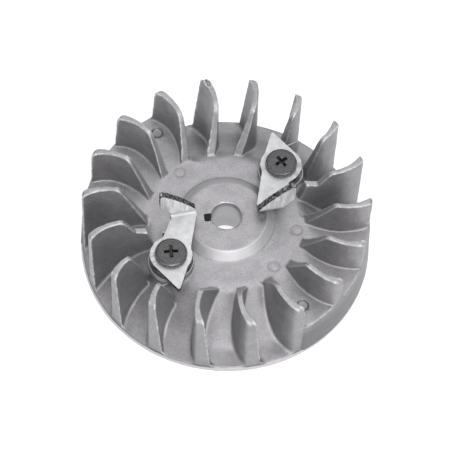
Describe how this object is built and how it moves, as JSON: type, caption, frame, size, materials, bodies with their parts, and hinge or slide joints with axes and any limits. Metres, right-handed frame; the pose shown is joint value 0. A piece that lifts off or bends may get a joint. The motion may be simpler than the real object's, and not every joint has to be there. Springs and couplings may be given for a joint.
{
  "type": "engine flywheel",
  "caption": "Engine flywheel with curved cooling-fan blades, a tapered keyed bore and sprung starter pawls on shoulder screws.",
  "frame": {"origin": "centre of the rim's back edge plane, on the crankshaft axis", "axes": "+Z along the crankshaft axis towards the starter side, +X to the right as seen from the pawl side"},
  "size_m": [0.098, 0.098, 0.0345],
  "materials": {
    "cast_aluminium": "as-cast, lightly blasted",
    "pole_steel": "laminated, turned flush",
    "magnet_block": "sintered",
    "zinc_plated_steel": "bright zinc on stamped plate",
    "black_steel": "blackened steel",
    "spring_wire": "drawn wire"
  },
  "bodies": {
    "flywheel": {"flywheel_casting": "cast_aluminium", "fan_blades": "cast_aluminium", "magnet": "magnet_block", "leading_pole_shoe": "pole_steel", "trailing_pole_shoe": "pole_steel", "pawl_screw_a": "black_steel", "pawl_screw_b": "black_steel", "pawl_washer_a": "black_steel", "pawl_washer_b": "black_steel", "pawl_spring_a": "spring_wire", "pawl_spring_b": "spring_wire"},
    "pawl_a": {"pawl_a": "zinc_plated_steel"},
    "pawl_b": {"pawl_b": "zinc_plated_steel"}
  },
  "joints": [
    {"name": "pawl_a_pivot", "type": "hinge", "parent": "flywheel", "child": "pawl_a", "pos_m": [0.01726, 0.01864, 0.02145], "axis": [0, 0, 1], "range_deg": [0, 24], "stiffness_Nm_per_rad": 0.004, "springref_deg": -45.84, "deforming": ["pawl_spring_a"]},
    {"name": "pawl_b_pivot", "type": "hinge", "parent": "flywheel", "child": "pawl_b", "pos_m": [-0.01726, -0.01864, 0.02145], "axis": [0, 0, 1], "range_deg": [0, 24], "stiffness_Nm_per_rad": 0.004, "springref_deg": -45.84, "deforming": ["pawl_spring_b"]}
  ]
}
